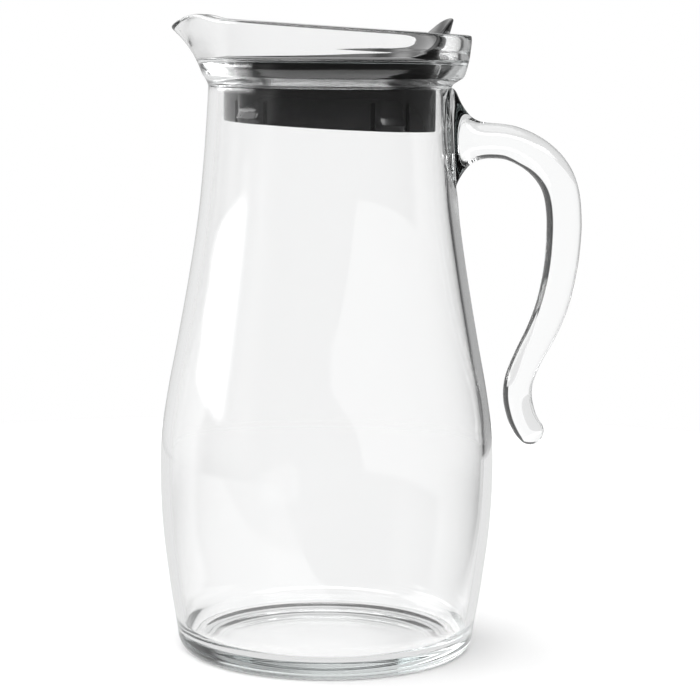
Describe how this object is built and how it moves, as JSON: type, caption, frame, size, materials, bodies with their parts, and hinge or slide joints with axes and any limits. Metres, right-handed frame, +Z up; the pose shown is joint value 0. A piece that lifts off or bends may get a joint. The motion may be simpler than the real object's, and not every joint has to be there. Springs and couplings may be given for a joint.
{
  "type": "glass pitcher with lid",
  "caption": "Clear glass water pitcher with a pulled pouring lip, slanted rim, open welded rod handle with a free curled tail, and a black plug lid with a raised grip.",
  "frame": {"origin": "centre of the foot ring's plane, on the body's axis", "axes": "+Z up along the body's axis, +X towards the handle, -X towards the pouring lip"},
  "size_m": [0.1687, 0.1346, 0.2554],
  "materials": {
    "clear_glass": "clear, fire-polished soda-lime glass",
    "black_plastic": "satin moulded"
  },
  "bodies": {
    "jug": {"jug_body": "clear_glass", "handle": "clear_glass"},
    "lid": {"lid": "black_plastic"}
  },
  "joints": [
    {"name": "lid_lift", "type": "slide", "parent": "jug", "child": "lid", "axis": [0, 0, 1], "range_m": [0, 0.06]}
  ]
}
